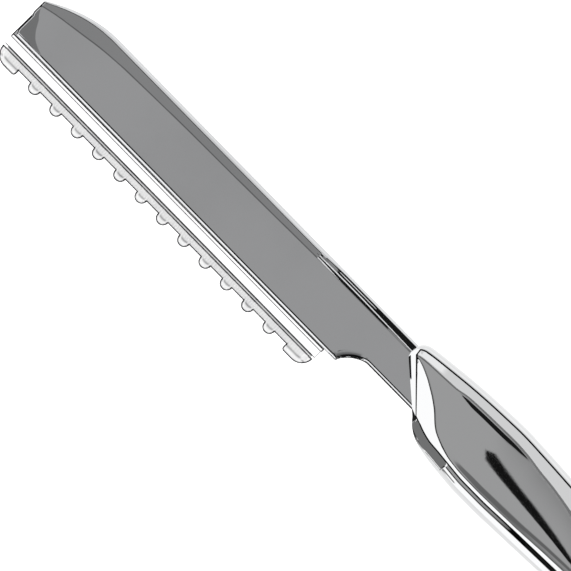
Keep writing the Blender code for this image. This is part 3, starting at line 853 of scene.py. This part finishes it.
def guardEdge(u):
    # lower edge of the guard: the band, a half round for each tooth, and at each end a quarter ellipse that
    # runs into a long tooth with a round inner corner
    g = guard
    off = np.abs(u[:, None] - toothMiddles()[None, :]).min(axis=1)
    edge = g["band"] - np.sqrt(np.clip(1 - (off / g["toothHalf"]) ** 2, 0, 1)) * g["toothHalf"]
    low = g["band"] - g["endDrop"]
    for end, sign in ((g["start"], 1), (g["end"], -1)):
        along = sign * (u - end) - g["endGap"]
        sweep = np.sqrt(np.clip(1 - (1 - np.clip(along / g["endSweep"], 0, 1)) ** 2, 0, 1))
        inner = g["endInset"] + g["endTooth"] - g["endGap"]
        corner = np.clip((along - (inner - g["endCorner"])) / g["endCorner"], 0, 1)
        lift = g["endCorner"] * (1 - np.sqrt(1 - corner**2))
        shape = g["top"] + (low + lift - g["top"]) * sweep
        edge = np.where(along <= inner, shape, edge)
    return edge


def guardStations(begin, finish, tongueFrom, tongueTo):
    # places along the guard: four for each rib, close together round the teeth and at the ends
    g = guard
    middles = toothMiddles()
    arcs = g["toothHalf"] * np.cos(np.linspace(0, math.pi, 19))
    first = g["start"] + g["endInset"] + g["endTooth"]
    last = g["end"] - g["endInset"] - g["endTooth"]
    end, corner = 2.6 * np.linspace(0, 1, 30) ** 2, g["endCorner"] * np.linspace(0, 1, 9) ** 2
    step = 0.004
    u = np.unique(np.round(np.concatenate([
        begin + end, finish - end, np.arange(begin + 2.7, finish - 2.7, g["ribPitch"] / 4),
        (middles[:, None] + arcs[None, :]).ravel(),
        middles - g["toothHalf"] - step, middles + g["toothHalf"] + step,
        first - corner, [first + step], [last - step], last + corner,
        [tongueFrom - step, tongueFrom + step, tongueTo - step, tongueTo + step]]), 4))
    return u[(u >= begin) & (u <= finish)]


def makeGuard():
    # Rings across the guard: a tongue, outer face with fine upright ribs, then a round lower edge
    g = guard
    begin, finish = g["start"] + g["endGap"] + 0.004, g["end"] - g["endGap"] - 0.004
    tongueFrom, tongueTo = g["start"] + g["tongueFrom"], g["end"] - g["tongueTo"]
    u = guardStations(begin, finish, tongueFrom, tongueTo)
    edge = guardEdge(u)
    rounding = np.minimum(g["roundness"], 0.45 * (g["top"] - edge))
    faceLow = edge + rounding
    stops = np.array([0.0, 0.06, 0.13, 0.2, 0.3, 0.45, 0.6, 0.75, 0.85, 0.93, 1.0])[None, :]
    vFace = g["top"] + stops * (faceLow - g["top"])[:, None]
    rib = g["ribDepth"] * (0.5 + 0.5 * np.cos(2 * math.pi * (u - g["start"]) / g["ribPitch"]))
    onBand = (vFace > g["band"] + 0.2) & (vFace < g["top"] - 0.15)
    wFace = g["half"] - rib[:, None] * onBand
    turn = np.linspace(0, math.pi / 2, 8)[None, 1:]
    vRound = faceLow[:, None] - rounding[:, None] * np.sin(turn)
    wRound = g["half"] - rounding[:, None] * (1 - np.cos(turn))
    tall = (np.where((u > tongueFrom) & (u < tongueTo), g["tongue"], 0.01))[:, None]
    vTongue = g["top"] + tall * np.array([1, 1, 0.66, 0.6, 0.03])[None, :]
    wTongue = g["tongueHalf"] * np.array([0, 1, 1, 1, 1])[None, :] + 0 * tall
    v = np.concatenate([vTongue, vFace, vRound, edge[:, None]], axis=1)
    w = np.concatenate([wTongue, wFace, wRound, 0 * edge[:, None]], axis=1)
    uu = np.repeat(u[:, None], v.shape[1], axis=1)
    points, faces = sleeve(mirrorAcross(np.stack([uu, v, w], axis=-1)))

    tongues = vTongue.shape[1]
    corners = np.array([[begin, g["top"]], [finish, g["top"]], [begin, g["top"]]])
    path = np.concatenate([corners[:1], np.stack([u, edge], axis=1), corners[1:]])
    # painted shade: a near black outline painted along the guard's outer edge and round the teeth
    rim = np.clip(1 - (outlineDistance(uu, v, path) - g["lineWidth"]) / g["lineFade"], 0, 1)
    # painted shade: the tongue's top, where it meets the strip's hem, painted near black as a shadow line
    rim[:, :tongues] = np.array([1, 1, 1, 0, 0])
    # painted shade: a dark line along the band's lower edge across the tooth roots, and more in the rib
    # grooves
    root = np.clip(1.4 - np.abs(v - g["band"] + 0.04) / 0.11, 0, 1)
    ribGrooveShade = np.zeros(v.shape)
    ribGrooveShade[:, tongues:tongues + vFace.shape[1]] = g["ribShade"] * onBand * rib[:, None] / g["ribDepth"]
    addPiece("combGuard", points, faces, "cartridge", ["comb_guard"], plasticFinish,
             sharp=40.0, attributes={"rim": bothSides(rim), "root": bothSides(np.maximum(root, ribGrooveShade))})


makeStrip()
makeBlade()
makeGuard()
for kept in ("clamp_spring", "tang_plate", "tang_pin_front", "tang_pin_rear"):
    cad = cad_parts[kept]
    cad.data.materials.clear()
    cad.data.materials.append(springFinish)
print("cartridge ready")

view = {"u": 55.27, "v": -3.24, "width": 84.88, "turn": 45.55, "lens": 1000.0, "sensor": 36.0}
studio = {
    "grey": 0.47, "black": 0.012, "white": 1.45,        # the card overhead, its edge and the walls
    "spineSide": 0.92, "farSpine": 1.2,                 # the wall and the far floor on the side of the back
    "nearShadow": 0.02, "nearPale": 1.08,                 # the floor close to the razor, as the metal sees it: a painted shadow and a pale part
    "floorCard": 0.24, "floorColor": (0.9, 0.9, 0.9), "floorGlow": 0.62,
    "shadow": 0.55, "streak": 0.98, "nose": 0.45, "notch": 0.95, "notchTop": 0.7,   # how dark each card is
    "lamp": 9.0, "lampSize": 1.2, "lampSpot": (-0.05, -0.1, 1.1),
}
tent = {                                                # all in degrees
    "card": 26.5, "cardShift": 13.5,                    # how far it reaches, further towards the back
    "edge": 10, "edgeShift": 2, "edgeSoft": 0.7,        # width of its black edge
    "dim": 0.27, "dimFrom": 6, "dimFull": 32,           # how much darker it is away from overhead
    "shadowFrom": 11.5, "shadowTo": 24.5, "shadowSoft": 1.5,
    "streakFrom": 2.6, "streakFull": 3.5, "streakFades": 26, "streakEnd": 36,
    "streakShift": 2.05, "streakTip": 3.15, "streakHalf": 1.1, "streakSoft": 0.25,
    "notchFrom": 20, "notchTo": 76, "notchHigh": 24, "notchLow": 100, "notchSoft": 2,
}


def makeCamera():
    # a long lens straight above, turned so that the razor runs down across the frame
    data = bpy.data.cameras.new("camera")
    data.lens = view["lens"]
    data.sensor_width = view["sensor"]
    data.clip_start, data.clip_end = 0.05, 60.0
    distance = view["width"] * mm * view["lens"] / view["sensor"]
    camera = bpy.data.objects.new("camera", data)
    aim = toWorld([view["u"], view["v"], holder["face"]])
    camera.location = (aim[0], aim[1], aim[2] + distance)
    camera.rotation_euler = (0, 0, math.radians(view["turn"]))
    bpy.context.scene.collection.objects.link(camera)
    bpy.context.scene.camera = camera


def makeFloor():
    # pale to the eye; the metal sees a painted shadow on it close by, as under any object that lies on a
    # table, and sees a grey card that lies on it in front of the blade
    size, low = 6.0, cadBox[0][2]
    mesh = bpy.data.meshes.new("floor")
    corners = [(-size, -size, low), (size, -size, low), (size, size, low), (-size, size, low)]
    mesh.from_pydata(corners, [], [(0, 1, 2, 3)])
    floor = bpy.data.objects.new("floor", mesh)
    bpy.context.scene.collection.objects.link(floor)
    material, tree, shader = newMaterial("paleFloor")
    shader.inputs["Base Color"].default_value = (*studio["floorColor"], 1)
    shader.inputs["Roughness"].default_value = 0.9
    shader.inputs["Specular IOR Level"].default_value = 0.0
    shader.inputs["Emission Color"].default_value = (1, 1, 1, 1)
    shader.inputs["Emission Strength"].default_value = studio["floorGlow"]
    spot = node(tree, "ShaderNodeTexCoord", {}, {}, "Object")
    x = node(tree, "ShaderNodeSeparateXYZ", {}, [spot], "X") / mm
    y = node(tree, "ShaderNodeSeparateXYZ", {}, [spot], "Y") / mm
    # soft-edged areas of the floor, in millimetres: near the razor, where reflections see a painted shadow,
    # the pale part of that, and the card
    near = y.step(-22, -18) * (1 - y.step(14, 20)) * x.step(-135, -125)
    pale = (1 - (1 - y.step(-1, 5)) * (1 - x.step(-20, -16))) * x.step(-108, -104)
    card = x.step(-75, -70) * (1 - x.step(-14, -12)) * y.step(-150, -140) * (1 - y.step(-27, -25))
    shade = studio["nearShadow"] + (studio["nearPale"] - studio["nearShadow"]) * pale
    far = studio["white"] + (studio["farSpine"] - studio["white"]) * y.step(0, 30)
    level = far + (shade - far) * near
    level = level + (studio["floorCard"] - level) * card
    glow = node(tree, "ShaderNodeEmission", {}, {"Strength": level})
    mirrored = node(tree, "ShaderNodeLightPath", {}, {}, "Is Glossy Ray")
    skin = node(tree, "ShaderNodeMixShader", {}, {0: mirrored, 1: Value(tree, shader.outputs[0]), 2: glow})
    tree.links.new(skin.socket, tree.nodes["Material Output"].inputs[0])
    mesh.materials.append(material)


def makeWorld():
    # A tent as a function of direction: a grey card overhead, a thin black edge round it, then white walls;
    # on the card a soft shadow, a narrow black streak towards the tail that widens from its tip, and a
    # darker patch beyond the nose; and a dark card low beyond the notch
    world = bpy.data.worlds.new("tent")
    bpy.context.scene.world = world
    world.use_nodes = True
    tree = world.node_tree
    way = node(tree, "ShaderNodeTexCoord", {}, {}, "Generated")
    x = node(tree, "ShaderNodeSeparateXYZ", {}, [way], "X")
    y = node(tree, "ShaderNodeSeparateXYZ", {}, [way], "Y")
    z = node(tree, "ShaderNodeSeparateXYZ", {}, [way], "Z")
    degrees = 180 / math.pi
    fromTop = z.math("ARCCOSINE") * degrees
    toSpine = y / (x * x + y * y + 1e-9) ** 0.5
    tiltX = x.math("ARCTAN2", z) * degrees
    tiltY = y.math("ARCTAN2", z) * degrees
    t = tent
    inner = t["card"] + t["cardShift"] * toSpine
    outer = inner + t["edge"] - t["edgeShift"] * toSpine
    ring = (fromTop - inner).step(-t["edgeSoft"], t["edgeSoft"])
    wall = (fromTop - outer).step(-t["edgeSoft"], t["edgeSoft"])
    dim = 1 - t["dim"] * fromTop.step(t["dimFrom"], t["dimFull"])
    shadow = fromTop.band(t["shadowFrom"], t["shadowTo"], t["shadowSoft"]) * toSpine.step(0.3, 0.7)
    card = studio["grey"] * dim * (1 - studio["shadow"] * shadow) * (1 - ring) + studio["black"] * ring
    backSide = toSpine.step(-0.2, 0.6) * (1 - fromTop.step(86, 93))
    white = studio["white"] - (studio["white"] - studio["spineSide"]) * backSide
    light = card * (1 - wall) + white * wall

    sideways = abs(tiltY + t["streakShift"]) - (tiltX - t["streakTip"]).math("MINIMUM", t["streakHalf"])
    streak = tiltX.step(t["streakFrom"], t["streakFull"]) * (1 - tiltX.step(t["streakFades"], t["streakEnd"]))
    streak = streak * (1 - sideways.step(-t["streakSoft"], t["streakSoft"]))
    light = light * (1 - studio["streak"] * streak)
    nose = (-0.75 * tiltX - 0.66 * tiltY).step(3.0, 4.5) * (-tiltX).step(0.3, 1.0)
    nose = nose * (1 - (fromTop - inner).step(-5, -2)) * (1 - toSpine.step(0.2, 0.6))
    light = light * (1 - studio["nose"] * nose)
    notch = (x.math("ARCTAN2", -y) * degrees).band(t["notchFrom"], t["notchTo"], t["notchSoft"])
    low = fromTop.band(t["notchHigh"], t["notchLow"], t["notchSoft"])
    light = light * (1 - studio["notch"] * notch * low)
    light = light * (1 - studio["notchTop"] * notch * fromTop.step(4, 18))
    back = tree.nodes["Background"]
    back.inputs["Color"].default_value = (1, 1, 1, 1)
    tree.links.new(light.socket, back.inputs["Strength"])


def makeLamp():
    # one large soft lamp above, for the plastic and the floor; the metal sees only the tent
    data = bpy.data.lights.new("softLamp", "AREA")
    data.size = studio["lampSize"]
    data.energy = studio["lamp"]
    lamp = bpy.data.objects.new("softLamp", data)
    lamp.location = studio["lampSpot"]
    lamp.visible_glossy = False
    bpy.context.scene.collection.objects.link(lamp)


makeCamera()
makeFloor()
makeWorld()
makeLamp()
scene = bpy.context.scene
scene.view_settings.view_transform = "Standard"
scene.view_settings.look = "None"
print("studio ready")
